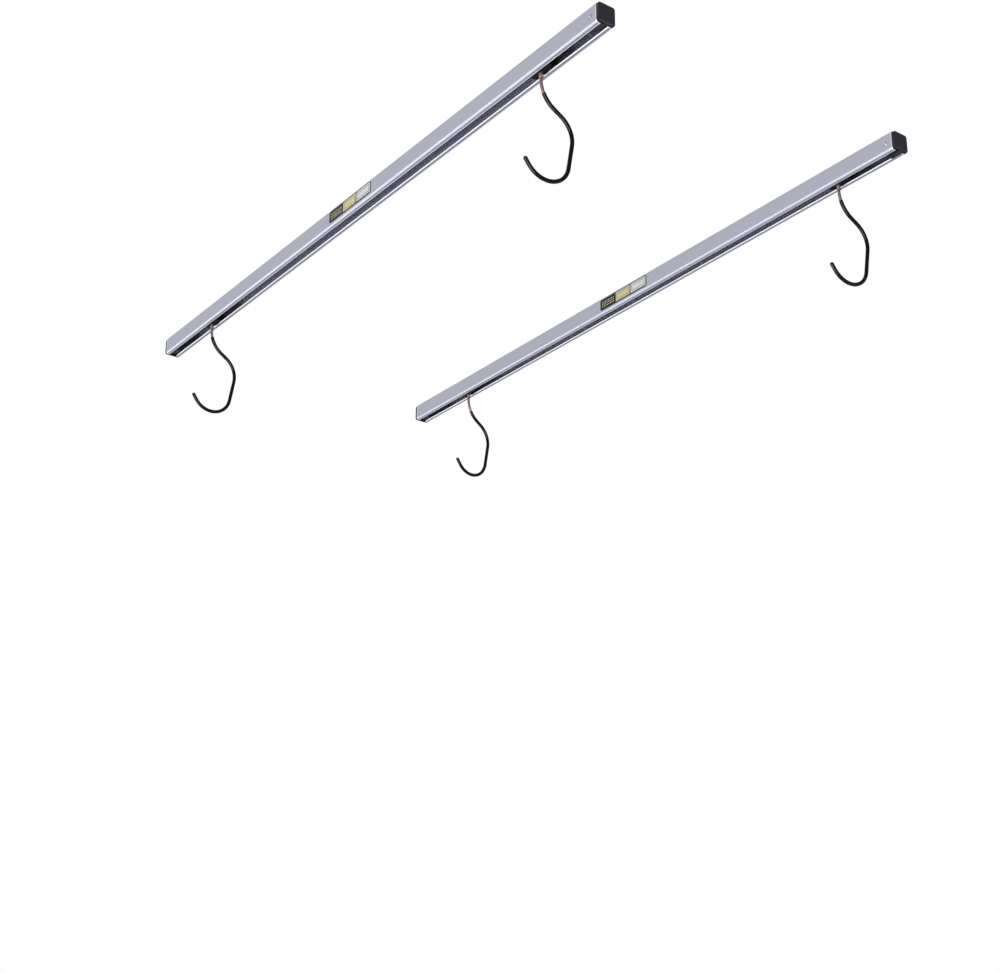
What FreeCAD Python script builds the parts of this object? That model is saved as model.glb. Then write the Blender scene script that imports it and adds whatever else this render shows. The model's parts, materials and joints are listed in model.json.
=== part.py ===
import FreeCAD, Part
import os, math
from FreeCAD import Vector as V, Placement, Rotation

os.makedirs("parts", exist_ok=True)

# Ceiling rack of two parallel slotted rails. In each rail two roller trolleys
# run on the lips of the slot, and a swivelling coated hook hangs from each.
# X runs along the rails, Y across them, Z is up. The ceiling is the plane z = 0
# and the origin is the middle of the first rail's ceiling face. Millimetres.

# ---------------------------------------------------------------- rails
RAIL_W = 31.0            # outer width
RAIL_H = 33.4            # outer height
RAIL_L = 1348.0          # length of the metal
RAIL_R = 4.4             # outer corner radius
WALL = 2.0               # side wall
TOP_WALL = 2.5           # wall against the ceiling
LIP_T = 2.7              # thickness of the two lips beside the slot
SLOT_W = 13.0            # slot in the underside
INNER_R = 1.2            # inner corner radius
LIP_EDGE_R = 2.1         # rounding of the lip's lower edge
LIP_TOP_R = 0.4          # rounding of the lip's upper edge
RAIL_PITCH = 583.0       # distance between the rails' middles
RAIL_STAGGER = 27.5      # second rail is set this much further along X
HOLE_R = 2.75            # ceiling screw holes
HOLE_X = (-609.0, -203.0, 203.0, 609.0)   # 406 mm apart, as joists are

# ---------------------------------------------------------------- end caps
CAP_T = 5.6              # plate thickness outside the rail
CAP_EDGE_R = 2.2         # rounding of the plate's outer edge
CAP_TOP_GAP = 1.3        # plate's top edge below the ceiling
PLUG_L = 20.0            # plug inside the channel, which is also the end stop
PLUG_GAP = 0.15          # plug to channel wall
TONGUE_GAP = 0.2         # tongue to slot edge
TONGUE_PROUD = 1.4       # tongue below the rail's underside
RIVET_X = 660.0          # rivets from the rail's middle
RIVET_Z = -18.2
RIVET_R = 1.55           # shank
RIVET_HEAD_R = 3.4
RIVET_HEAD_T = 1.0
RIVET_DEPTH = 7.0        # shank length from the rail's outer face
RIVET_HOLE_R = 0.85      # where the pulling pin broke off
RIVET_HOLE_DEPTH = 0.9   # from the top of the head

# ---------------------------------------------------------------- label
LABEL_X0, LABEL_X1 = -48.5, 84.0
LABEL_Z0, LABEL_Z1 = -27.0, -4.5
LABEL_T = 0.15
LABEL_R = 4.2            # corner radius

# ---------------------------------------------------------------- trolley
ROLLER_R = 9.0
ROLLER_LIFT = 0.3        # roller above the lip
ROLLER_IN, ROLLER_OUT = 7.9, 12.6     # tread, from the middle plane
ROLLER_HUB_IN = 7.25
ROLLER_HUB_R = 3.6
ROLLER_BORE_R = 2.06
AXLE_R = 2.0
AXLE_X = 14.5            # axles fore and aft of the hook
AXLE_HEAD_R = 3.1
AXLE_HEAD_IN, AXLE_HEAD_OUT = 12.75, 13.25
CARR_L = 44.0
CARR_HALF_W = 7.0
CARR_Z0, CARR_Z1 = -29.3, -13.2
SADDLE_HALF_X = 8.0      # notch over the hook for its nut
DECK_Z = -20.7           # floor of that notch
BUSH_R = 4.0
BUSH_BORE_R = 2.55
BUSH_FLANGE_R = 5.6
BUSH_FLANGE_T = 1.2

# ---------------------------------------------------------------- hook
ROD_R = 2.5
ROD_TOP_Z = -11.3
WASHER_R, WASHER_T = 5.5, 1.2
WASHER_LIFT = 0.1
NUT_AF, NUT_H = 8.0, 5.5
COLLAR_R, COLLAR_TOP_Z, COLLAR_BOT_Z = 3.6, -29.6, -40.8
BEND_Z = -44.0           # the rod is straight down to here
BEND_R1, BEND_A1 = 50.2, 57.8     # first bend, away from the stem
RUN_1 = 13.0
BEND_R2, LEAN = 44.2, 9.3         # second bend, back past the vertical
RUN_2 = 41.0
BEND_R3, BEND_END = 38.8, 144.6   # the cradle, ending this far past straight down
RUN_3 = 10.0
SLEEVE_R = 3.25
SLEEVE_GAP = 0.02

# rail, name, place along that rail's own middle, swivel from +X in degrees,
# and how many degrees into the first bend the hook's sleeve starts
TROLLEYS = (
    (1, "near", 527.0, 86.7, 24.5),
    (1, "far", -507.0, 91.2, 16.5),
    (2, "near", 544.5, 86.0, 18.0),
    (2, "far", -501.0, 95.9, 30.0),
)


def save(name, solids):
    solids = solids if isinstance(solids, list) else [solids]
    flat = []
    for s in solids:
        flat.extend(s.Solids)
    shape = flat[0] if len(flat) == 1 else Part.makeCompound(flat)
    shape.exportStep("parts/%s.step" % name)


def rounded_face(w, z0, z1, r, x):
    # rounded rectangle across the rail, in the plane X = x, centred on Y = 0
    y = w / 2.0
    c = r * (1.0 - math.sqrt(0.5))
    p = [V(x, -y + r, z0), V(x, y - r, z0), V(x, y, z0 + r), V(x, y, z1 - r),
         V(x, y - r, z1), V(x, -y + r, z1), V(x, -y, z1 - r), V(x, -y, z0 + r)]
    m = [V(x, y - c, z0 + c), V(x, y - c, z1 - c), V(x, -y + c, z1 - c), V(x, -y + c, z0 + c)]
    e = [Part.makeLine(p[0], p[1]), Part.Arc(p[1], m[0], p[2]).toShape(),
         Part.makeLine(p[2], p[3]), Part.Arc(p[3], m[1], p[4]).toShape(),
         Part.makeLine(p[4], p[5]), Part.Arc(p[5], m[2], p[6]).toShape(),
         Part.makeLine(p[6], p[7]), Part.Arc(p[7], m[3], p[0]).toShape()]
    return Part.Face(Part.Wire(e))


def box(x0, x1, y0, y1, z0, z1):
    return Part.makeBox(x1 - x0, y1 - y0, z1 - z0, V(x0, y0, z0))


def cyl_y(r, y0, y1, x, z):
    return Part.makeCylinder(r, y1 - y0, V(x, y0, z), V(0, 1, 0))


def cyl_z(r, z0, z1, x=0.0, y=0.0):
    return Part.makeCylinder(r, z1 - z0, V(x, y, z0), V(0, 0, 1))


def edges_where(shape, test):
    return [e for e in shape.Edges if test(e)]


def placed(shape, x, y, turn=0.0):
    s = shape.copy()
    s.Placement = Placement(V(x, y, 0), Rotation(V(0, 0, 1), turn)).multiply(s.Placement)
    return s


# ================================================================ rail
half = RAIL_L / 2.0
chan_w = RAIL_W - 2 * WALL
chan_z0, chan_z1 = -RAIL_H + LIP_T, -TOP_WALL

outer = rounded_face(RAIL_W, -RAIL_H, 0.0, RAIL_R, -half)
inner = rounded_face(chan_w, chan_z0, chan_z1, INNER_R, -half)
rail = outer.extrude(V(RAIL_L, 0, 0)).cut(inner.extrude(V(RAIL_L, 0, 0)))
rail = rail.cut(box(-half, half, -SLOT_W / 2, SLOT_W / 2, -RAIL_H - 1, chan_z0 + 1))


def slot_edge(z):
    def test(e):
        b = e.BoundBox
        return (b.XLength > RAIL_L - 1 and abs(b.ZMin - z) < 1e-3 and b.ZLength < 1e-3
                and abs(abs(b.YMin) - SLOT_W / 2) < 1e-3)
    return test


rail = rail.makeFillet(LIP_EDGE_R, edges_where(rail, slot_edge(-RAIL_H)))
rail = rail.makeFillet(LIP_TOP_R, edges_where(rail, slot_edge(chan_z0)))
for hx in HOLE_X:
    rail = rail.cut(cyl_z(HOLE_R, -TOP_WALL - 2, 1, hx, 0))
for sx in (-1, 1):
    rail = rail.cut(cyl_y(RIVET_R + 0.05, -RAIL_W, RAIL_W, sx * RIVET_X, RIVET_Z))

# ================================================================ end cap
# drawn at the +X end; the other end is the same piece turned half round
plate = rounded_face(RAIL_W, -RAIL_H, -CAP_TOP_GAP, RAIL_R, half).extrude(V(CAP_T, 0, 0))
rim = edges_where(plate, lambda e: abs(e.BoundBox.XMin - half - CAP_T) < 1e-3 and e.BoundBox.XLength < 1e-3)
plate = plate.makeFillet(CAP_EDGE_R, rim)
plug = rounded_face(chan_w - 2 * PLUG_GAP, chan_z0 + PLUG_GAP, chan_z1 - PLUG_GAP,
                    INNER_R - PLUG_GAP, half - PLUG_L).extrude(V(PLUG_L + 1.0, 0, 0))
lead = edges_where(plug, lambda e: abs(e.BoundBox.XMax - half + PLUG_L) < 1e-3)
plug = plug.makeChamfer(0.8, lead)
cap = plate.fuse(plug)
for side in (-1, 1):
    y0, y1 = sorted((side * RAIL_W / 2, side * (RAIL_W / 2 - RIVET_DEPTH - 0.2)))
    cap = cap.cut(cyl_y(RIVET_R + 0.02, y0, y1, RIVET_X, RIVET_Z))
cap = cap.removeSplitter()

# the cap at the near end of the second rail also has a tongue that fills the slot and
# stands a little proud of the rail's underside
tongue = box(half - PLUG_L, half + CAP_T - 0.5, -SLOT_W / 2 + TONGUE_GAP, SLOT_W / 2 - TONGUE_GAP,
             -RAIL_H - TONGUE_PROUD, chan_z0 + 2.0)
tongue = tongue.makeFillet(0.6, edges_where(
    tongue, lambda e: abs(e.BoundBox.ZMax + RAIL_H + TONGUE_PROUD) < 1e-3))
cap_tongue = cap.fuse(tongue).removeSplitter()


def rivet(x, side):
    shank = cyl_y(RIVET_R, -RAIL_W / 2 - 0.2, -RAIL_W / 2 + RIVET_DEPTH, x, RIVET_Z)
    # low domed head: a slice of a sphere
    big = (RIVET_HEAD_R ** 2 + RIVET_HEAD_T ** 2) / (2 * RIVET_HEAD_T)
    ball = Part.makeSphere(big, V(x, -RAIL_W / 2 - RIVET_HEAD_T + big, RIVET_Z))
    head = ball.common(box(x - 9, x + 9, -RAIL_W / 2 - 9, -RAIL_W / 2, RIVET_Z - 9, RIVET_Z + 9))
    top = -RAIL_W / 2 - RIVET_HEAD_T
    r = head.fuse(shank).removeSplitter().cut(
        cyl_y(RIVET_HOLE_R, top - 1.0, top + RIVET_HOLE_DEPTH, x, RIVET_Z))
    return r if side < 0 else r.mirror(V(0, 0, 0), V(0, 1, 0))


rivets = [rivet(sx * RIVET_X, side) for sx in (-1, 1) for side in (-1, 1)]
label = box(LABEL_X0, LABEL_X1, -RAIL_W / 2 - LABEL_T, -RAIL_W / 2, LABEL_Z0, LABEL_Z1)
label = label.makeFillet(LABEL_R, edges_where(label, lambda e: e.BoundBox.YLength > LABEL_T * 0.9
                                         and e.BoundBox.XLength < 1e-3 and e.BoundBox.ZLength < 1e-3))

for n, (rx, ry) in ((1, (0.0, 0.0)), (2, (RAIL_STAGGER, RAIL_PITCH))):
    save("rail_%d" % n, placed(rail, rx, ry))
    save("rail_%d_near_cap" % n, placed(cap_tongue if n == 2 else cap, rx, ry))
    save("rail_%d_far_cap" % n, placed(cap, rx, ry, 180.0))
    save("rail_%d_rivets" % n, [placed(r, rx, ry) for r in rivets])
    save("rail_%d_label" % n, placed(label, rx, ry))

# ================================================================ trolley
axle_z = chan_z0 + ROLLER_R + ROLLER_LIFT

carriage = box(-CARR_L / 2, CARR_L / 2, -CARR_HALF_W, CARR_HALF_W, CARR_Z0, CARR_Z1)
carriage = carriage.makeFillet(2.0, edges_where(carriage, lambda e: e.BoundBox.ZLength > 5))
carriage = carriage.makeChamfer(0.8, edges_where(
    carriage, lambda e: abs(e.BoundBox.ZMin - CARR_Z0) < 1e-3 and e.BoundBox.ZLength < 1e-3))
carriage = carriage.cut(box(-SADDLE_HALF_X, SADDLE_HALF_X, -20, 20, DECK_Z, 0))
carriage = carriage.makeFillet(1.2, edges_where(
    carriage, lambda e: abs(e.BoundBox.ZMin - DECK_Z) < 1e-3 and e.BoundBox.ZLength < 1e-3
    and abs(abs(e.BoundBox.XMin) - SADDLE_HALF_X) < 1e-3 and e.BoundBox.XLength < 1e-3))
carriage = carriage.cut(cyl_z(BUSH_R, CARR_Z0 - 1, DECK_Z + 1))
for sx in (-1, 1):
    carriage = carriage.cut(cyl_y(AXLE_R + 0.01, -20, 20, sx * AXLE_X, axle_z))

bush = cyl_z(BUSH_R - 0.01, CARR_Z0, DECK_Z).fuse(
    cyl_z(BUSH_FLANGE_R, DECK_Z, DECK_Z + BUSH_FLANGE_T)).cut(
    cyl_z(BUSH_BORE_R, CARR_Z0 - 1, DECK_Z + BUSH_FLANGE_T + 1)).removeSplitter()


def axle(x):
    a = cyl_y(AXLE_R, -AXLE_HEAD_OUT, AXLE_HEAD_OUT, x, axle_z)
    for y0, y1 in ((-AXLE_HEAD_OUT, -AXLE_HEAD_IN), (AXLE_HEAD_IN, AXLE_HEAD_OUT)):
        a = a.fuse(cyl_y(AXLE_HEAD_R, y0, y1, x, axle_z))
    return a.removeSplitter()


def roller(x, side):
    # half section from the axle outwards: (radius, distance from the middle plane)
    prof = [(ROLLER_BORE_R, ROLLER_HUB_IN), (ROLLER_HUB_R, ROLLER_HUB_IN),
            (ROLLER_HUB_R, ROLLER_IN), (ROLLER_R - 0.8, ROLLER_IN),
            (ROLLER_R, ROLLER_IN + 0.8), (ROLLER_R, ROLLER_OUT - 0.8),
            (ROLLER_R - 0.8, ROLLER_OUT), (7.0, ROLLER_OUT),
            (6.6, ROLLER_OUT - 0.9), (4.6, ROLLER_OUT - 0.9),
            (4.2, ROLLER_OUT), (ROLLER_BORE_R, ROLLER_OUT)]
    pts = [V(x, side * y, axle_z + r) for r, y in prof]
    face = Part.Face(Part.makePolygon(pts + [pts[0]]))
    return face.revolve(V(x, 0, axle_z), V(0, 1, 0), 360)


# ================================================================ hook
class Path:
    # line and arc path in the plane Y = 0; the heading is measured from +X
    def __init__(self, x, z, heading):
        self.p, self.h, self.edges = V(x, 0, z), math.radians(heading), []

    def run(self, length):
        q = self.p + V(math.cos(self.h), 0, math.sin(self.h)) * length
        self.edges.append(Part.makeLine(self.p, q))
        self.p = q
        return self

    def bend(self, r, degrees, draw=True):
        s = 1.0 if degrees > 0 else -1.0
        c = self.p + V(-math.sin(self.h), 0, math.cos(self.h)) * (r * s)

        def at(turn):
            a = self.h + math.radians(turn) - s * math.pi / 2
            return c + V(math.cos(a), 0, math.sin(a)) * r
        q = at(degrees)
        if draw:
            self.edges.append(Part.Arc(self.p, at(degrees / 2.0), q).toShape())
        self.p, self.h = q, self.h + math.radians(degrees)
        return self


def tube(path_edges, r, start, direction):
    ring = Part.Wire([Part.makeCircle(r, start, direction)])
    return Part.Wire(path_edges).makePipeShell([ring], True, False)


def cradle(path, first):
    path.bend(BEND_R1, first)
    path.run(RUN_1)
    path.bend(BEND_R2, -BEND_A1 - LEAN)
    path.run(RUN_2)
    path.bend(BEND_R3, -BEND_END + LEAN)
    return path


rod_path = cradle(Path(0, ROD_TOP_Z, -90.0).run(ROD_TOP_Z - BEND_Z), BEND_A1).run(RUN_3)
rod = tube(rod_path.edges, ROD_R, V(0, 0, ROD_TOP_Z), V(0, 0, -1))
rod = rod.makeChamfer(0.7, edges_where(
    rod, lambda e: abs(e.BoundBox.ZMin - ROD_TOP_Z) < 1e-3 and e.BoundBox.ZLength < 1e-3))
tip = rod_path.p
tip_dir = V(math.cos(rod_path.h), 0, math.sin(rod_path.h))


def bent_tube(r, skip_degrees, last_run):
    # a tube along the hook that leaves out the start of the first bend
    p = Path(0, BEND_Z, -90.0).bend(BEND_R1, skip_degrees, draw=False)
    at, way = V(p.p), V(math.cos(p.h), 0, math.sin(p.h))
    return tube(cradle(p, BEND_A1 - skip_degrees).run(last_run).edges, r, at, way)


def sleeve(start):
    skin = bent_tube(SLEEVE_R, start, RUN_3).fuse(Part.makeSphere(SLEEVE_R, tip))
    core = bent_tube(ROD_R + SLEEVE_GAP, start - 2.0, RUN_3 + SLEEVE_GAP)
    return skin.cut(core).removeSplitter()


deck_top = DECK_Z + BUSH_FLANGE_T
w0 = deck_top + WASHER_LIFT
washer = cyl_z(WASHER_R, w0, w0 + WASHER_T).cut(cyl_z(ROD_R + 0.05, w0 - 1, w0 + WASHER_T + 1))
n0 = w0 + WASHER_T
hexagon = [V(NUT_AF / math.sqrt(3) * math.cos(math.radians(60 * i)),
             NUT_AF / math.sqrt(3) * math.sin(math.radians(60 * i)), n0) for i in range(7)]
nut = Part.Face(Part.makePolygon(hexagon)).extrude(V(0, 0, NUT_H))
dome = cyl_z(NUT_AF / 2 + 0.45, n0, n0 + NUT_H)
dome = dome.makeChamfer(0.5, edges_where(dome, lambda e: e.BoundBox.ZLength < 1e-3))
nut = nut.common(dome)
crown = cyl_z(20, n0 + NUT_H - 1.6, n0 + NUT_H + 1).cut(
    Part.makeCone(NUT_AF / 2 + 0.1, NUT_AF / 2 - 0.9, 1.6, V(0, 0, n0 + NUT_H - 1.6)))
nut = nut.cut(crown).cut(cyl_z(ROD_R + SLEEVE_GAP, n0 - 1, n0 + NUT_H + 1))
collar = cyl_z(COLLAR_R, COLLAR_BOT_Z, COLLAR_TOP_Z)
collar = collar.makeChamfer(0.5, edges_where(collar, lambda e: e.BoundBox.ZLength < 1e-3))
collar = collar.cut(cyl_z(ROD_R + SLEEVE_GAP, COLLAR_BOT_Z - 1, COLLAR_TOP_Z + 1))

for n, end, along, turn, start in TROLLEYS:
    x = along + (RAIL_STAGGER if n == 2 else 0.0)
    y = RAIL_PITCH if n == 2 else 0.0
    t = "trolley_%d_%s_" % (n, end)
    save(t + "carriage", placed(carriage, x, y))
    save(t + "bush", placed(bush, x, y))
    save(t + "axles", [placed(axle(sx * AXLE_X), x, y) for sx in (-1, 1)])
    save(t + "front_rollers", [placed(roller(AXLE_X, s), x, y) for s in (-1, 1)])
    save(t + "rear_rollers", [placed(roller(-AXLE_X, s), x, y) for s in (-1, 1)])
    k = "hook_%d_%s_" % (n, end)
    save(k + "rod", placed(rod, x, y, turn))
    save(k + "sleeve", placed(sleeve(start), x, y, turn))
    save(k + "collar", placed(collar, x, y, turn))
    save(k + "washer", placed(washer, x, y, turn))
    save(k + "lock_nut", placed(nut, x, y, turn))
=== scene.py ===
import bpy, bmesh, json, math
from mathutils import Matrix, Vector


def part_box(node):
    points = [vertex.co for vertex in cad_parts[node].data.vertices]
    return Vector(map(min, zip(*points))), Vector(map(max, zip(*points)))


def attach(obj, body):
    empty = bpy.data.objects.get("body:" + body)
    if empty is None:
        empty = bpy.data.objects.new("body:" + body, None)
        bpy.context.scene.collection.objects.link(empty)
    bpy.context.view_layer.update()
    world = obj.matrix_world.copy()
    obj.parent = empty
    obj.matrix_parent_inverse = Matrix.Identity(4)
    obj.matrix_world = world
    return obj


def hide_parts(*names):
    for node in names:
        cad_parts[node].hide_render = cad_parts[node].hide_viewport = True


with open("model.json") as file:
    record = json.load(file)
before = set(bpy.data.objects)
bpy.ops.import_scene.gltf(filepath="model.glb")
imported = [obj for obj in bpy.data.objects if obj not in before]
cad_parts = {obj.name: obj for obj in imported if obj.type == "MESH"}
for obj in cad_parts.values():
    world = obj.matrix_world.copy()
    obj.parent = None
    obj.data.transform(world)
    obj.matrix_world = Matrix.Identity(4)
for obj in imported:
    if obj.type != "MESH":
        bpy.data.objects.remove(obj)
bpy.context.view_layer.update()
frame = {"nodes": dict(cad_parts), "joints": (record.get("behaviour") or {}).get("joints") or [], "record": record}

nodes = frame["nodes"]
scene = bpy.context.scene
scene.view_settings.view_transform = "Standard"
MM = 0.001


# ------------------------------------------------------------------ node helpers
class Mat:
    """A node material with one Principled shader, built up from small steps."""

    def __init__(self, name, **sockets):
        self.m = bpy.data.materials.new(name)
        self.m.use_nodes = True
        self.t = self.m.node_tree
        self.t.nodes.clear()
        self.out = self.t.nodes.new("ShaderNodeOutputMaterial")
        self.bsdf = self.t.nodes.new("ShaderNodeBsdfPrincipled")
        self.t.links.new(self.bsdf.outputs[0], self.out.inputs[0])
        for k, v in sockets.items():
            self.bsdf.inputs[k.replace("_", " ")].default_value = v

    def node(self, kind, **props):
        n = self.t.nodes.new(kind)
        for k, v in props.items():
            setattr(n, k, v)
        return n

    def link(self, a, b):
        self.t.links.new(a, b)
        return b

    def coords(self, scale=(1, 1, 1), out="Object", rot=(0, 0, 0), loc=(0, 0, 0)):
        tc = self.node("ShaderNodeTexCoord")
        mp = self.node("ShaderNodeMapping")
        mp.inputs["Scale"].default_value = scale
        mp.inputs["Rotation"].default_value = rot
        mp.inputs["Location"].default_value = loc
        self.link(tc.outputs[out], mp.inputs["Vector"])
        return mp.outputs[0]

    def split(self, vec):
        n = self.node("ShaderNodeSeparateXYZ")
        self.link(vec, n.inputs[0])
        return n.outputs

    def noise(self, vec, scale=1.0, detail=3.0, rough=0.5, distort=0.0):
        n = self.node("ShaderNodeTexNoise")
        n.inputs["Scale"].default_value = scale
        n.inputs["Detail"].default_value = detail
        n.inputs["Roughness"].default_value = rough
        n.inputs["Distortion"].default_value = distort
        self.link(vec, n.inputs["Vector"])
        return n.outputs["Fac"]

    def ramp(self, fac, stops, interp="LINEAR"):
        n = self.node("ShaderNodeValToRGB")
        n.color_ramp.interpolation = interp
        e = n.color_ramp.elements
        while len(e) < len(stops):
            e.new(0.5)
        for i, (p, c) in enumerate(stops):
            e[i].position = p
            e[i].color = (c, c, c, 1) if isinstance(c, (int, float)) else (*c, 1)
        self.link(fac, n.inputs[0])
        return n.outputs[0]

    def math(self, op, a, b=None, clamp=False):
        n = self.node("ShaderNodeMath", operation=op, use_clamp=clamp)
        for i, v in enumerate((a, b)):
            if v is None:
                continue
            if isinstance(v, (int, float)):
                n.inputs[i].default_value = v
            else:
                self.link(v, n.inputs[i])
        return n.outputs[0]

    def band(self, value, lo, hi, soft):
        """1 between lo and hi, falling to 0 over soft on both sides."""
        up = self.node("ShaderNodeMapRange", interpolation_type="SMOOTHSTEP")
        dn = self.node("ShaderNodeMapRange", interpolation_type="SMOOTHSTEP")
        for n, a, b in ((up, lo - soft, lo + soft), (dn, hi + soft, hi - soft)):
            self.link(value, n.inputs["Value"])
            n.inputs["From Min"].default_value = a
            n.inputs["From Max"].default_value = b
        return self.math("MULTIPLY", up.outputs[0], dn.outputs[0])

    def mix(self, fac, a, b, blend="MIX"):
        n = self.node("ShaderNodeMix", data_type="RGBA", blend_type=blend)
        for sock, v in ((n.inputs[0], fac), (n.inputs[6], a), (n.inputs[7], b)):
            if isinstance(v, (int, float)):
                sock.default_value = v
            elif isinstance(v, tuple):
                sock.default_value = (*v, 1)
            else:
                self.link(v, sock)
        return n.outputs[2]

    def bump(self, height, strength, distance, under=None):
        n = self.node("ShaderNodeBump")
        n.inputs["Strength"].default_value = strength
        n.inputs["Distance"].default_value = distance
        self.link(height, n.inputs["Height"])
        if under is not None:
            self.link(under, n.inputs["Normal"])
        return n.outputs[0]

    def set(self, socket, value):
        self.link(value, self.bsdf.inputs[socket])


# ------------------------------------------------------------------ materials
def rail_material():
    """Satin anodised extrusion: fine die lines along the length, a slightly blotchy
    tone, a painted highlight of brighter metal along the slot's edges and the sawn ends with a painted
    shade line beside it, a painted shadow ring round the rivets, and a glossier inside with a painted
    band of light along each inner wall and painted shadow towards the ends."""
    m = Mat("rail_aluminium")
    along = m.noise(m.coords((1.2, 900, 900)), 1.0, 4.0, 0.6)
    broad = m.noise(m.coords((5.0, 22, 22)), 1.0, 2.0, 0.5)
    patch = m.noise(m.coords((60, 300, 300)), 1.0, 3.0, 0.6)
    tone = m.ramp(along, [(0.25, (0.535, 0.55, 0.655)), (0.75, (0.60, 0.615, 0.73))])
    tone = m.mix(m.ramp(broad, [(0.35, 0.0), (0.7, 0.30)]), tone, (0.57, 0.575, 0.66))
    x, y, z = m.split(m.coords((1000, 1000, 1000)))
    ax = m.math("ABSOLUTE", x)
    under = m.band(z, -36.0, -31.3, 0.25)
    lips = m.math("ADD", m.band(y, -9.2, -6.0, 0.4), m.math("MULTIPLY", m.band(y, 6.0, 8.0, 0.4), 0.9))
    # painted shade: a darker line along each lip's underside, between the corner and the slot edge
    painted_shade_line = m.math("ADD", m.band(y, -11.6, -9.8, 0.4), m.band(y, 8.6, 11.4, 0.5))
    # painted highlight: brighter metal along the slot's edges and the sawn ends
    painted_highlight = m.math("MAXIMUM", m.band(ax, 671.6, 690.0, 0.5), m.math("MULTIPLY", lips, under))
    painted_highlight = m.math("MULTIPLY", painted_highlight, m.ramp(patch, [(0.3, 0.8), (0.65, 1.0)]))
    tone = m.mix(m.math("MULTIPLY", m.math("MULTIPLY", painted_shade_line, under), 0.85), tone, (0.24, 0.24, 0.29))
    tone = m.mix(painted_highlight, tone, (0.84, 0.85, 0.90))
    # painted shadow: a dark ring round each rivet head
    dx, dz = m.math("SUBTRACT", ax, 660.0), m.math("ADD", z, 18.2)
    ring = m.math("SQRT", m.math("ADD", m.math("MULTIPLY", dx, dx), m.math("MULTIPLY", dz, dz)))
    painted_shadow_ring = m.math("MULTIPLY", m.band(ring, 2.0, 4.0, 0.3), m.ramp(patch, [(0.3, 0.95), (0.65, 0.7)]))
    tone = m.mix(painted_shadow_ring, tone, (0.11, 0.11, 0.13))
    inside = m.math("MULTIPLY", m.band(y, -13.75, 13.75, 0.1), m.band(z, -31.2, -2.3, 0.2))
    # painted light: a paler band along each inner wall
    within = m.mix(m.band(z, -22.4, -18.6, 0.8), (0.53, 0.53, 0.61), (0.70, 0.70, 0.79))
    # painted shadow: darker inside towards the ends, beside the end plugs
    within = m.mix(m.math("MULTIPLY", m.band(ax, 580.0, 900.0, 45.0), 0.4), within, (0.24, 0.24, 0.28))
    m.set("Base Color", m.mix(inside, tone, within))
    m.set("Metallic", m.ramp(inside, [(0.0, 1.0), (1.0, 0.92)]))
    rough = m.ramp(along, [(0.2, 0.30), (0.8, 0.40)])
    rough = m.mix(m.math("MULTIPLY", m.math("MULTIPLY", m.band(y, -9.8, -6.0, 0.4), under), 0.8), rough, (0.55, 0.55, 0.55))
    m.set("Roughness", m.mix(m.math("MULTIPLY", inside, 1.0), rough, (0.20, 0.20, 0.20)))
    m.set("Normal", m.bump(along, 0.12, 0.00012))
    return m.m


def cap_material():
    """Moulded caps: flat faces of fine grain, a little dusty, with painted shade that makes the
    roundings near black, a painted highlight along the lower front edge, and dust on the middle of the plug below."""
    m = Mat("cap_plastic", Specular_IOR_Level=0.12)
    fine = m.noise(m.coords(), 1400.0, 2.0, 0.5)
    broad = m.noise(m.coords(), 90.0, 3.0, 0.55)
    tc = m.node("ShaderNodeTexCoord")
    nx, ny, nz = m.split(tc.outputs["Normal"])
    gx, gy, gz = m.split(tc.outputs["Generated"])
    nx, down = m.math("ABSOLUTE", nx), m.math("MULTIPLY", nz, -1.0)
    plate = m.band(m.math("ABSOLUTE", m.math("SUBTRACT", gx, 0.5)), 0.35, 0.7, 0.02)
    level = m.math("SQRT", m.math("ADD", m.math("MULTIPLY", nx, nx), m.math("MULTIPLY", ny, ny)))
    upright = m.math("MULTIPLY", m.ramp(level, [(0.80, 0.0), (0.97, 1.0)]), plate)
    below = m.math("MULTIPLY", m.ramp(down, [(0.75, 0.0), (0.95, 1.0)]), m.band(gy, 0.38, 0.62, 0.05))
    below = m.math("MULTIPLY", below, m.ramp(broad, [(0.35, 0.35), (0.65, 1.0)]))
    # painted highlight: a lighter line along the lower front rounding
    painted_highlight_edge = m.ramp(m.math("MULTIPLY", nx, down), [(0.30, 0.0), (0.46, 1.0)])
    dust = m.ramp(broad, [(0.3, (0.040, 0.036, 0.050)), (0.75, (0.056, 0.051, 0.070))])
    # painted shade: near-black roundings and edges, with the flat faces left paler
    painted_shade_rim = m.ramp(broad, [(0.3, (0.003, 0.003, 0.004)), (0.75, (0.006, 0.006, 0.007))])
    tone = m.mix(upright, painted_shade_rim, dust)
    tone = m.mix(m.math("MULTIPLY", below, 0.8), tone, (0.045, 0.043, 0.053))
    m.set("Base Color", m.mix(m.math("MULTIPLY", painted_highlight_edge, 0.8), tone, (0.105, 0.10, 0.115)))
    m.set("Roughness", m.ramp(fine, [(0.3, 0.45), (0.7, 0.6)]))
    m.set("Normal", m.bump(fine, 0.25, 0.00008))
    return m.m


def plastic_material(name, dark, light, rough=(0.42, 0.58), grain=1400.0, bump=0.25, spec=0.35):
    m = Mat(name, Specular_IOR_Level=spec)
    fine = m.noise(m.coords(), grain, 2.0, 0.5)
    broad = m.noise(m.coords(), 55.0, 3.0, 0.55)
    m.set("Base Color", m.ramp(broad, [(0.3, dark), (0.75, light)]))
    m.set("Roughness", m.ramp(fine, [(0.3, rough[0]), (0.7, rough[1])]))
    m.set("Normal", m.bump(fine, bump, 0.00008))
    return m.m


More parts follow.
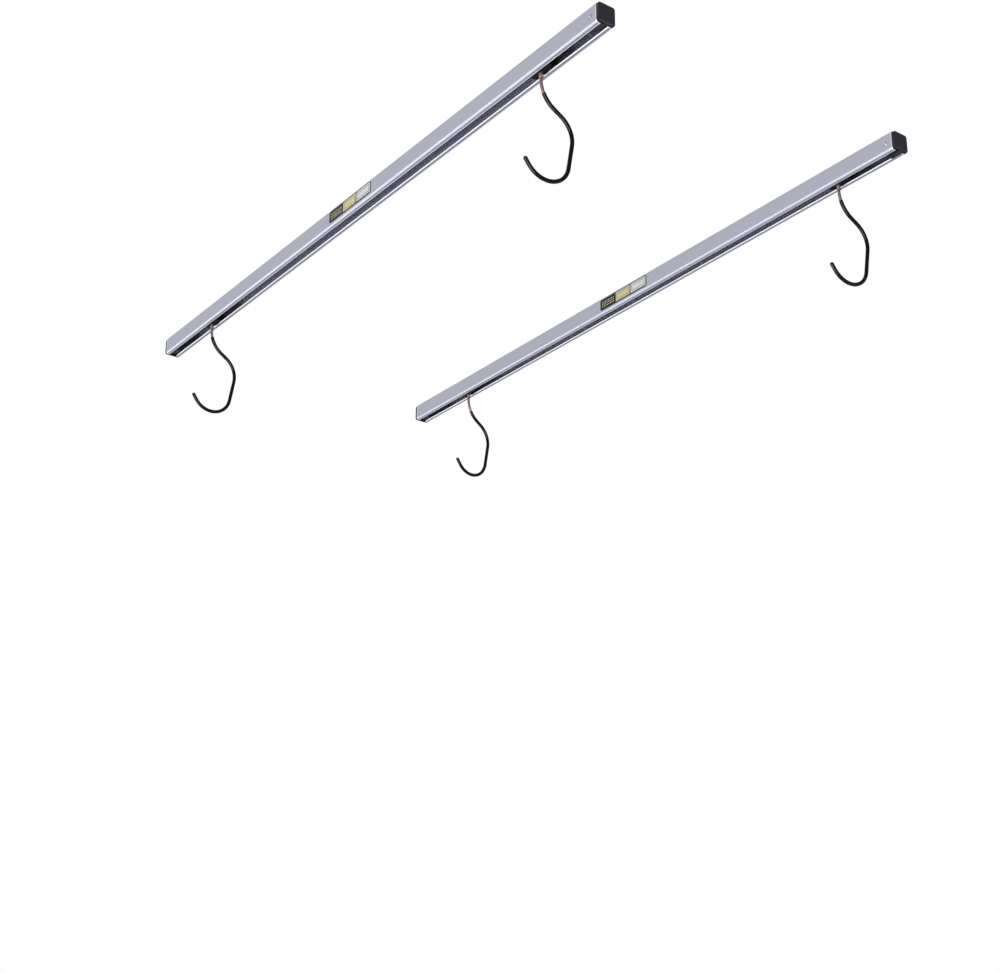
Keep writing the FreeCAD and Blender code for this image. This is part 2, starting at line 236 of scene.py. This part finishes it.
def metal_material(name, dark, light, rough=(0.3, 0.45), stretch=(400, 400, 30)):
    m = Mat(name, Metallic=1.0)
    lines = m.noise(m.coords(stretch), 1.0, 4.0, 0.6)
    broad = m.noise(m.coords(), 180.0, 3.0, 0.55)
    tone = m.mix(m.ramp(broad, [(0.3, 0.0), (0.75, 1.0)]), dark, light)
    m.set("Base Color", m.mix(m.ramp(lines, [(0.3, 0.35), (0.7, 0.0)]), tone, tuple(c * 0.6 for c in dark)))
    m.set("Roughness", m.ramp(lines, [(0.25, rough[0]), (0.75, rough[1])]))
    m.set("Normal", m.bump(lines, 0.2, 0.00006))
    return m.m


def collar_material():
    """Yellowed zinc plate, with painted shade where the collar sits in the slot and on its lower chamfer."""
    m = Mat("collar_zinc", Metallic=1.0)
    turned = m.noise(m.coords((250, 250, 2500)), 1.0, 4.0, 0.6)
    broad = m.noise(m.coords(), 180.0, 3.0, 0.55)
    tone = m.mix(m.ramp(broad, [(0.3, 0.0), (0.75, 1.0)]), (0.29, 0.235, 0.205), (0.38, 0.31, 0.275))
    tone = m.mix(m.ramp(turned, [(0.3, 0.30), (0.7, 0.0)]), tone, (0.26, 0.205, 0.18))
    z = m.split(m.coords((1000, 1000, 1000)))[2]
    # painted shade: darker lower chamfer, in place of its highlight
    tone = m.mix(m.math("MULTIPLY", m.band(z, -50.0, -40.2, 0.15), 0.8), tone, (0.16, 0.12, 0.105))
    # painted shade: darker where the collar sits inside the slot
    m.set("Base Color", m.mix(m.math("MULTIPLY", m.band(z, -35.2, -20.0, 2.0), 0.85), tone, (0.085, 0.062, 0.055)))
    m.set("Roughness", m.ramp(turned, [(0.25, 0.48), (0.75, 0.62)]))
    m.set("Normal", m.bump(turned, 0.2, 0.00006))
    return m.m


def vinyl_material():
    """Soft dipped vinyl: black, slightly wavy, scuffed a little duller in patches."""
    m = Mat("sleeve_vinyl", Specular_IOR_Level=0.2)
    peel = m.noise(m.coords(), 900.0, 2.0, 0.5)
    wave = m.noise(m.coords(), 110.0, 2.0, 0.5)
    scuff = m.noise(m.coords(), 45.0, 4.0, 0.65)
    m.set("Base Color", m.ramp(scuff, [(0.35, (0.002, 0.002, 0.004)), (0.75, (0.004, 0.004, 0.008))]))
    m.set("Roughness", m.ramp(scuff, [(0.3, 0.12), (0.7, 0.2)]))
    m.set("Normal", m.bump(wave, 0.06, 0.0003, m.bump(peel, 0.05, 0.00004)))
    return m.m


def label_material():
    """Printed film of plain panels: black ground with a field of pale dots, a pale
    yellow panel and a white one, each with its own border. No wording."""
    m = Mat("label_film", Specular_IOR_Level=0.16)
    gx, gy, gz = m.split(m.coords(out="Generated"))
    u = m.math("MULTIPLY", gx, 132.5)       # millimetres along the film
    v = m.math("MULTIPLY", gz, 22.5)        # millimetres up it
    age = m.noise(m.coords(), 120.0, 4.0, 0.6)
    ink = m.ramp(age, [(0.3, (0.012, 0.012, 0.013)), (0.75, (0.026, 0.026, 0.028))])
    white = m.ramp(age, [(0.3, (0.72, 0.72, 0.71)), (0.75, (0.80, 0.80, 0.79))])
    yellow = m.ramp(age, [(0.3, (0.66, 0.62, 0.34)), (0.75, (0.74, 0.69, 0.40))])

    def panel(u0, u1, v0, v1, r=1.0):
        """1 inside a rectangle with corners of radius r."""
        far = []
        for t, t0, t1 in ((u, u0, u1), (v, v0, v1)):
            off = m.math("ABSOLUTE", m.math("SUBTRACT", t, (t0 + t1) / 2))
            off = m.math("MAXIMUM", m.math("SUBTRACT", off, (t1 - t0) / 2 - r), 0.0)
            far.append(m.math("MULTIPLY", off, off))
        return m.band(m.math("SQRT", m.math("ADD", *far)), -9.0, r, 0.1)

    def dots(pitch, radius):
        du = m.math("SUBTRACT", m.math("MODULO", u, pitch), pitch / 2)
        dv = m.math("SUBTRACT", m.math("MODULO", v, pitch), pitch / 2)
        r = m.math("SQRT", m.math("ADD", m.math("MULTIPLY", du, du), m.math("MULTIPLY", dv, dv)))
        return m.band(r, -9.0, radius, 0.12)

    colour = m.mix(m.math("MULTIPLY", panel(4.5, 40.5, 4.5, 18.0), dots(4.5, 1.3)), ink, yellow)
    colour = m.mix(panel(45.0, 85.0, 2.6, 21.0, 2.2), colour, yellow)
    colour = m.mix(panel(87.6, 130.0, 2.6, 21.0, 2.2), colour, white)
    ring = m.math("SUBTRACT", panel(90.6, 127.0, 5.4, 18.2), panel(91.5, 126.1, 6.3, 17.3), clamp=True)
    colour = m.mix(ring, colour, ink)
    ring = m.math("SUBTRACT", panel(48.0, 82.0, 5.4, 18.2), panel(48.9, 81.1, 6.3, 17.3), clamp=True)
    colour = m.mix(ring, colour, ink)
    m.set("Base Color", colour)
    m.set("Roughness", m.ramp(age, [(0.3, 0.26), (0.7, 0.4)]))
    m.set("Normal", m.bump(m.noise(m.coords(), 35.0, 2.0), 0.15, 0.0003))
    return m.m


MATS = {
    "rail_aluminium": rail_material(),
    "rivet_aluminium": metal_material("rivet_aluminium", (0.56, 0.57, 0.66), (0.70, 0.71, 0.80), (0.24, 0.34), (900, 900, 900)),
    "cap_plastic": cap_material(),
    "label_film": label_material(),
    "trolley_plastic": plastic_material("trolley_plastic", (0.002, 0.002, 0.0025), (0.005, 0.005, 0.006), spec=0.12),
    "roller_plastic": plastic_material("roller_plastic", (0.003, 0.003, 0.004), (0.007, 0.007, 0.008), (0.35, 0.5), 900.0, 0.15, 0.15),
    "bush_brass": metal_material("bush_brass", (0.07, 0.052, 0.03), (0.13, 0.098, 0.055), (0.34, 0.5), (300, 300, 2500)),
    "pin_steel": metal_material("pin_steel", (0.42, 0.42, 0.43), (0.55, 0.55, 0.56), (0.28, 0.42), (900, 900, 900)),
    "collar_zinc": collar_material(),
    "rod_steel": metal_material("rod_steel", (0.22, 0.15, 0.135), (0.31, 0.215, 0.195), (0.44, 0.58), (1500, 1500, 60)),
    "sleeve_vinyl": vinyl_material(),
}
slot_of = {s["node"]: s["material_slot"] for s in frame["record"]["subparts"]}
for name, ob in nodes.items():
    ob.data.materials.clear()
    ob.data.materials.append(MATS[slot_of[name]])


# ------------------------------------------------------------------ mesh helpers
def make(name, verts, faces, slot, body, stands_for, place=Matrix.Identity(4), crease=28.0):
    me = bpy.data.meshes.new(name)
    me.from_pydata([tuple(c * MM for c in v) for v in verts], [], faces)
    bm = bmesh.new()
    bm.from_mesh(me)
    bmesh.ops.recalc_face_normals(bm, faces=bm.faces)
    bm.to_mesh(me)
    bm.free()
    ob = bpy.data.objects.new(name, me)
    scene.collection.objects.link(ob)
    me.materials.append(MATS[slot])
    ob.matrix_world = place
    ob["crease"] = crease
    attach(ob, body)
    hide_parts(stands_for)
    return ob


def soften(ob):
    """Smooth shading that keeps real edges sharp and flat faces flat."""
    ob.data.shade_smooth()
    ob.data.set_sharp_from_angle(angle=math.radians(ob["crease"]))
    del ob["crease"]
    w = ob.modifiers.new("normals", "WEIGHTED_NORMAL")
    w.keep_sharp = True
    w.weight = 80
    return ob


def cut(ob, cutters):
    """Takes cylinders (centre, radius, half length, axis) in millimetres out of a piece."""
    bm = bmesh.new()
    for centre, r, half, axis in cutters:
        turn = Vector((0, 0, 1)).rotation_difference(Vector(axis)).to_matrix().to_4x4()
        bmesh.ops.create_cone(bm, cap_ends=True, segments=40, radius1=r * MM, radius2=r * MM, depth=2 * half * MM,
                              matrix=Matrix.Translation(Vector(centre) * MM) @ turn)
    me = bpy.data.meshes.new("cutter")
    bm.to_mesh(me)
    bm.free()
    tool = bpy.data.objects.new("cutter", me)
    tool.matrix_world = ob.matrix_world
    scene.collection.objects.link(tool)
    mod = ob.modifiers.new("cut", "BOOLEAN")
    mod.operation, mod.solver, mod.object = "DIFFERENCE", "EXACT", tool
    bpy.context.view_layer.update()
    out = bpy.data.meshes.new_from_object(ob.evaluated_get(bpy.context.evaluated_depsgraph_get()))
    ob.modifiers.clear()
    old = ob.data
    ob.data = out
    bpy.data.objects.remove(tool)
    bpy.data.meshes.remove(me)
    bpy.data.meshes.remove(old)
    return ob


def arc(cy, cz, r, a0, a1, n):
    return [(cy + r * math.cos(math.radians(a0 + (a1 - a0) * i / n)),
             cz + r * math.sin(math.radians(a0 + (a1 - a0) * i / n))) for i in range(n + 1)]


def inset(ring, d):
    """The closed outline moved inwards by d, each point along the mean of its two edges' normals."""
    out = []
    for i, p in enumerate(ring):
        a, b = Vector(ring[i - 1]), Vector(ring[(i + 1) % len(ring)])
        p = Vector(p)
        n1, n2 = (p - a).normalized(), (b - p).normalized()
        n = Vector((-n1.y - n2.y, n1.x + n2.x))
        n = n.normalized() / max(0.3, math.sqrt(max(0.0, (1 + n1.dot(n2)) / 2)))
        out.append((p.x + n.x * d, p.y + n.y * d))
    return out


# ------------------------------------------------------------------ rails
LIP_T, SLOT_W, WALL, TOP_WALL = 2.7, 13.0, 2.0, 2.5
CORNER_R, INNER_R, LIP_EDGE_R, LIP_TOP_R = 4.4, 1.2, 2.1, 0.4
HOLE_R, HOLE_X = 2.75, (-609.0, -203.0, 203.0, 609.0)
RIVET_X, RIVET_Z, RIVET_R = 660.0, -18.2, 1.55
HEAD_R, HEAD_T, RIVET_DEPTH = 3.4, 1.0, 7.0


def section(w, h):
    """Outline of the slotted rail across its length, as (y, z), counter-clockwise."""
    o, s, c = w / 2, SLOT_W / 2, w / 2 - WALL
    p = arc(s + LIP_EDGE_R, -h + LIP_EDGE_R, LIP_EDGE_R, 180, 270, 8)
    p += arc(o - CORNER_R, -h + CORNER_R, CORNER_R, 270, 360, 14)
    p += arc(o - CORNER_R, -CORNER_R, CORNER_R, 0, 90, 14)
    p += arc(-o + CORNER_R, -CORNER_R, CORNER_R, 90, 180, 14)
    p += arc(-o + CORNER_R, -h + CORNER_R, CORNER_R, 180, 270, 14)
    p += arc(-s - LIP_EDGE_R, -h + LIP_EDGE_R, LIP_EDGE_R, 270, 360, 8)
    p += arc(-s - LIP_TOP_R, -h + LIP_T - LIP_TOP_R, LIP_TOP_R, 0, 90, 8)
    p += arc(-c + INNER_R, -h + LIP_T + INNER_R, INNER_R, 270, 180, 7)
    p += arc(-c + INNER_R, -TOP_WALL - INNER_R, INNER_R, 180, 90, 7)
    p += arc(c - INNER_R, -TOP_WALL - INNER_R, INNER_R, 90, 0, 7)
    p += arc(c - INNER_R, -h + LIP_T + INNER_R, INNER_R, 0, -90, 7)
    p += arc(s + LIP_TOP_R, -h + LIP_T - LIP_TOP_R, LIP_TOP_R, 90, 180, 8)
    return p


def build_rail(n):
    lo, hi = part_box("rail_%d" % n)
    mid = Vector(((lo.x + hi.x) / 2, (lo.y + hi.y) / 2, 0))
    half, w, h = (hi.x - lo.x) / 2 / MM, (hi.y - lo.y) / MM, -lo.z / MM
    ring = section(w, h)
    small = inset(ring, 0.35)
    stations = [(-half, small), (-half + 0.35, ring)]
    stations += [(-half + 2 * half * i / 24, ring) for i in range(1, 24)]
    stations += [(half - 0.35, ring), (half, small)]
    k = len(ring)
    verts = [(x, y, z) for x, r in stations for y, z in r]
    faces = [(a * k + i, a * k + (i + 1) % k, (a + 1) * k + (i + 1) % k, (a + 1) * k + i)
             for a in range(len(stations) - 1) for i in range(k)]
    faces += [tuple(range(k)), tuple((len(stations) - 1) * k + i for i in range(k))]
    place = Matrix.Translation(mid)
    ob = make("rail_%d_extrusion" % n, verts, faces, "rail_aluminium", "rails", "rail_%d" % n, place)
    holes = [((x, 0, -TOP_WALL / 2), HOLE_R, 4.0, (0, 0, 1)) for x in HOLE_X]
    holes += [((sx * RIVET_X, 0, RIVET_Z), RIVET_R + 0.05, w, (0, 1, 0)) for sx in (-1, 1)]
    soften(cut(ob, holes))

    # blind rivets through the side walls: domed head, with the broken end of its pin just below the top
    big = (HEAD_R ** 2 + HEAD_T ** 2) / (2 * HEAD_T)

    def dome(r):
        return HEAD_T - big + math.sqrt(big * big - r * r)

    prof = [(0.0, 0.80), (0.42, 0.78), (0.66, 0.72), (0.74, 0.62), (0.80, 0.60), (0.86, 0.66), (0.90, 0.80), (1.0, 0.885)]
    prof += [(r, dome(r)) for r in (1.15, 1.45, 1.8, 2.15, 2.5, 2.8, 3.05, 3.22)]
    prof += [(3.36, 0.14), (3.4, 0.06), (3.38, 0.0), (RIVET_R, 0.0), (RIVET_R, -RIVET_DEPTH + 0.3),
             (RIVET_R - 0.3, -RIVET_DEPTH), (0.0, -RIVET_DEPTH)]
    seg, verts, faces = 36, [], []
    for sx in (-1, 1):
        for side in (-1, 1):
            at = len(verts)
            for r, e in prof[1:-1]:
                for j in range(seg):
                    a = 2 * math.pi * j / seg
                    verts.append((sx * RIVET_X + r * math.cos(a), side * (w / 2 + e), RIVET_Z + r * math.sin(a)))
            rows = len(prof) - 2
            for i in range(rows - 1):
                for j in range(seg):
                    q = (at + i * seg + j, at + i * seg + (j + 1) % seg,
                         at + (i + 1) * seg + (j + 1) % seg, at + (i + 1) * seg + j)
                    faces.append(q)
            for i, (r, e) in ((0, prof[0]), (rows - 1, prof[-1])):
                verts.append((sx * RIVET_X, side * (w / 2 + e), RIVET_Z))
                faces += [(at + i * seg + j, at + i * seg + (j + 1) % seg, len(verts) - 1) for j in range(seg)]
    soften(make("rail_%d_rivet_set" % n, verts, faces, "rivet_aluminium", "rails", "rail_%d_rivets" % n, place, 40.0))


def build_label(n):
    """The stuck-on film: rounded corners and a thin edge that rolls down to the rail."""
    lo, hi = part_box("rail_%d_label" % n)
    x0, x1, z0, z1, y0, y1 = (c / MM for c in (lo.x, hi.x, lo.z, hi.z, lo.y, hi.y))

    def outline(d):
        r = 4.2 - d
        return [p for cx, cz, a in ((x1 - 4.2, z0 + 4.2, 270), (x1 - 4.2, z1 - 4.2, 0), (x0 + 4.2, z1 - 4.2, 90), (x0 + 4.2, z0 + 4.2, 180))
                for p in arc(cx, cz, r, a, a + 90, 10)]

    rows = [(y1, 0.0), (y0 + 0.06, 0.0), (y0 + 0.02, 0.03), (y0, 0.09), (y0, 0.5)]
    verts = [(x, y, z) for y, d in rows for x, z in outline(d)]
    k = len(verts) // len(rows)
    faces = [(i * k + j, i * k + (j + 1) % k, (i + 1) * k + (j + 1) % k, (i + 1) * k + j)
             for i in range(len(rows) - 1) for j in range(k)]
    faces += [tuple(range(k)), tuple((len(rows) - 1) * k + j for j in range(k))]
    soften(make("rail_%d_label_sheet" % n, verts, faces, "label_film", "rails", "rail_%d_label" % n, crease=40.0))


for n in (1, 2):
    build_rail(n)
    build_label(n)

# ------------------------------------------------------------------ hooks
ROD_R, SLEEVE_R, ROD_TOP_Z, BEND_Z = 2.5, 3.25, -11.3, -44.0
BENDS = (("bend", 50.2, 57.8), ("run", 13.0), ("bend", 44.2, -67.1), ("run", 41.0), ("bend", 38.8, -135.3), ("run", 10.0))
HOOKS = {"1_near": (86.7, 24.5), "1_far": (91.2, 16.5), "2_near": (86.0, 18.0), "2_far": (95.9, 30.0)}


def centre_line():
    """The hook's middle line in its own plane: (distance from the bend's start, x, z, heading)."""
    x, z, h, s = 0.0, BEND_Z, -math.pi / 2, 0.0
    out = [(s, x, z, h)]
    for step in BENDS:
        if step[0] == "run":
            parts = max(2, round(step[1] / 3.0))
            for i in range(parts):
                x, z, s = x + math.cos(h) * step[1] / parts, z + math.sin(h) * step[1] / parts, s + step[1] / parts
                out.append((s, x, z, h))
        else:
            r, turn = step[1], math.radians(step[2])
            parts = max(4, round(abs(step[2]) / 2.2))
            for i in range(parts):
                d = turn / parts
                chord = 2 * r * math.sin(abs(d) / 2)
                x, z = x + chord * math.cos(h + d / 2), z + chord * math.sin(h + d / 2)
                h, s = h + d, s + r * abs(d)
                out.append((s, x, z, h))
    return out


LINE = centre_line()


def on_line(s):
    for a, b in zip(LINE, LINE[1:]):
        if s <= b[0]:
            f = (s - a[0]) / (b[0] - a[0])
            return tuple(a[i] + (b[i] - a[i]) * f for i in range(4))
    return LINE[-1]


def tube(rings, seg):
    """Rings of (x, z, heading, radius) in the plane y = 0, joined and closed at both ends."""
    verts, faces = [], []
    for x, z, h, r in rings:
        nx, nz = -math.sin(h), math.cos(h)
        for j in range(seg):
            a = 2 * math.pi * j / seg
            verts.append((x + r * math.cos(a) * nx, r * math.sin(a), z + r * math.cos(a) * nz))
    for i in range(len(rings) - 1):
        for j in range(seg):
            faces.append((i * seg + j, i * seg + (j + 1) % seg, (i + 1) * seg + (j + 1) % seg, (i + 1) * seg + j))
    for i in (0, len(rings) - 1):
        x, z = rings[i][:2]
        verts.append((x, 0.0, z))
        faces += [(i * seg + j, i * seg + (j + 1) % seg, len(verts) - 1) for j in range(seg)]
    return verts, faces


def build_hook(key, joint):
    turn, start = HOOKS[key]
    body = "hook_" + key
    place = Matrix.Translation((joint[0], joint[1], 0)) @ Matrix.Rotation(math.radians(turn), 4, "Z")
    down = -math.pi / 2
    rings = [(0.0, ROD_TOP_Z, down, ROD_R - 0.7), (0.0, ROD_TOP_Z - 0.7, down, ROD_R)]
    rings += [(0.0, ROD_TOP_Z + (BEND_Z - ROD_TOP_Z) * i / 8, down, ROD_R) for i in range(1, 8)]
    rings += [(x, z, h, ROD_R) for s, x, z, h in LINE]
    soften(make("hook_%s_bent_rod" % key, *tube(rings, 32), "rod_steel", body, "hook_%s_rod" % key, place, 40.0))

    # the sleeve: a rolled upper edge, a wall that varies a little as dipping leaves it, a rounded tip
    s0, s1 = math.radians(start) * BENDS[0][1], LINE[-1][0]
    seed = sum(ord(c) for c in key)

    def wall(s):
        return SLEEVE_R + 0.035 * math.sin(s / 6.1 + seed) + 0.025 * math.sin(s / 2.7 + 2.1 * seed)

    inner = ROD_R + 0.02
    stops = [s0 + 1.2] + [s for s, *_ in LINE if s0 + 2.0 < s < s1 - 0.5] + [s1]
    rings = [(*on_line(s)[1:], inner) for s in reversed(stops)] + [(*on_line(s0 + 0.05)[1:], inner)]
    for ds, dr in ((0.0, 0.15), (0.0, 0.42), (0.07, 0.58), (0.2, 0.68), (0.45, 0.73)):
        rings.append((*on_line(s0 + ds)[1:], inner + (wall(s0) - inner) * dr / 0.73))
    rings += [(*on_line(s)[1:], wall(s)) for s in stops]
    _, x, z, h = LINE[-1]
    top = wall(s1)
    for i in range(1, 9):
        a = math.radians(88 * i / 8)
        rings.append((x + math.cos(h) * top * math.sin(a), z + math.sin(h) * top * math.sin(a), h, top * math.cos(a)))
    soften(make("hook_%s_dipped_sleeve" % key, *tube(rings, 36), "sleeve_vinyl", body, "hook_%s_sleeve" % key, place, 50.0))


for j in frame["joints"]:
    if j["name"].endswith("_swivel"):
        build_hook(j["name"][5:-7], j["pos_m"])

# ------------------------------------------------------------------ camera
cam_data = bpy.data.cameras.new("camera")
cam_data.sensor_width = 36.0
cam_data.lens = 61.7445
cam_data.clip_start, cam_data.clip_end = 0.05, 400.0
camera = bpy.data.objects.new("camera", cam_data)
scene.collection.objects.link(camera)
right = Vector((0.594696, 0.803935, 0.00499))
up = Vector((0.287899, -0.218756, 0.932341))
ahead = Vector((-0.750633, 0.553023, 0.361545))
rot = Matrix((right, up, -ahead)).transposed().to_4x4()
camera.matrix_world = Matrix.Translation((2.213483, -1.313625, -1.514549)) @ rot
scene.camera = camera

# ------------------------------------------------------------------ stage and light
FLOOR_Z = -2.3
fm = bpy.data.meshes.new("floor")
bm = bmesh.new()
bmesh.ops.create_circle(bm, cap_ends=True, cap_tris=True, segments=96, radius=150.0)
bm.to_mesh(fm)
bm.free()
floor = bpy.data.objects.new("floor", fm)
floor.location = (0, 0.3, FLOOR_Z)
scene.collection.objects.link(floor)
fmat = Mat("floor_pale", Roughness=0.9, Specular_IOR_Level=0.1, Emission_Strength=0.34)
fmat.bsdf.inputs["Emission Color"].default_value = (1.0, 1.0, 1.0, 1.0)
fmat.set("Base Color", fmat.ramp(fmat.noise(fmat.coords(), 0.35, 2.0), [(0.3, (0.80, 0.80, 0.805)), (0.7, (0.815, 0.815, 0.815))]))
fm.materials.append(fmat.m)

# white surround for the eye, greying softly into the floor at the horizon; the light itself
# is brighter on the left and front
world = bpy.data.worlds.new("studio")
scene.world = world
world.use_nodes = True
wt = world.node_tree
wt.nodes.clear()
w_out = wt.nodes.new("ShaderNodeOutputWorld")
w_mix = wt.nodes.new("ShaderNodeMixShader")
w_path = wt.nodes.new("ShaderNodeLightPath")
w_seen = wt.nodes.new("ShaderNodeBackground")
w_glow = wt.nodes.new("ShaderNodeBackground")
wt.links.new(w_path.outputs["Is Camera Ray"], w_mix.inputs[0])
wt.links.new(w_glow.outputs[0], w_mix.inputs[1])
wt.links.new(w_seen.outputs[0], w_mix.inputs[2])
wt.links.new(w_mix.outputs[0], w_out.inputs[0])
w_seen.inputs[0].default_value = (1, 1, 1, 1)
w_glow.inputs[0].default_value = (1, 1, 1, 1)
w_dir = wt.nodes.new("ShaderNodeTexCoord")


def lobe(direction, lo, hi, amount, least=0.0):
    """A smooth patch of light: amount where the cosine to direction is above hi, least below lo."""
    d = wt.nodes.new("ShaderNodeVectorMath")
    d.operation = "DOT_PRODUCT"
    wt.links.new(w_dir.outputs["Generated"], d.inputs[0])
    d.inputs[1].default_value = Vector(direction).normalized()
    r = wt.nodes.new("ShaderNodeMapRange")
    r.interpolation_type = "SMOOTHSTEP"
    wt.links.new(d.outputs["Value"], r.inputs["Value"])
    r.inputs["From Min"].default_value = lo
    r.inputs["From Max"].default_value = hi
    r.inputs["To Min"].default_value = least
    r.inputs["To Max"].default_value = amount
    return r.outputs[0]


wt.links.new(lobe((0, 0, 1), 0.0, 0.08, 1.0, 0.672), w_seen.inputs[1])
total = None
for part in (
    lobe((-0.72, -0.50, 0.48), 0.40, 0.93, 0.46),     # left, front and above brighter
    lobe((0.61, 0.52, 0.60), 0.40, 0.95, 0.12),       # a little from the right and behind
    lobe((0.0, 0.0, 1.0), -2.0, -1.0, 0.24),          # even base everywhere
):
    if total is None:
        total = part
    else:
        a = wt.nodes.new("ShaderNodeMath")
        a.operation = "ADD"
        wt.links.new(total, a.inputs[0])
        wt.links.new(part, a.inputs[1])
        total = a.outputs[0]
wt.links.new(total, w_glow.inputs[1])


def softbox(name, place, target, size_x, size_y, watts, lit=True):
    d = bpy.data.lights.new(name, "AREA")
    d.shape = "RECTANGLE"
    d.size, d.size_y = size_x, size_y
    d.energy = watts
    o = bpy.data.objects.new(name, d)
    o.location = place
    o.rotation_mode = "QUATERNION"
    o.rotation_quaternion = (Vector(place) - Vector(target)).to_track_quat("Z", "Y")
    o.visible_camera = False
    o.visible_diffuse = lit
    scene.collection.objects.link(o)
    return o


softbox("key", (-1.7, -1.75, -1.05), (0.0, 0.15, -0.05), 3.6, 2.1, 23)
softbox("front", (0.35, -1.30, -1.35), (0.4, 0.1, -0.1), 0.9, 0.5, 9)
softbox("strip", (1.32, -1.48, -1.12), (0.53, 0.0, -0.15), 0.5, 2.4, 72, lit=False)
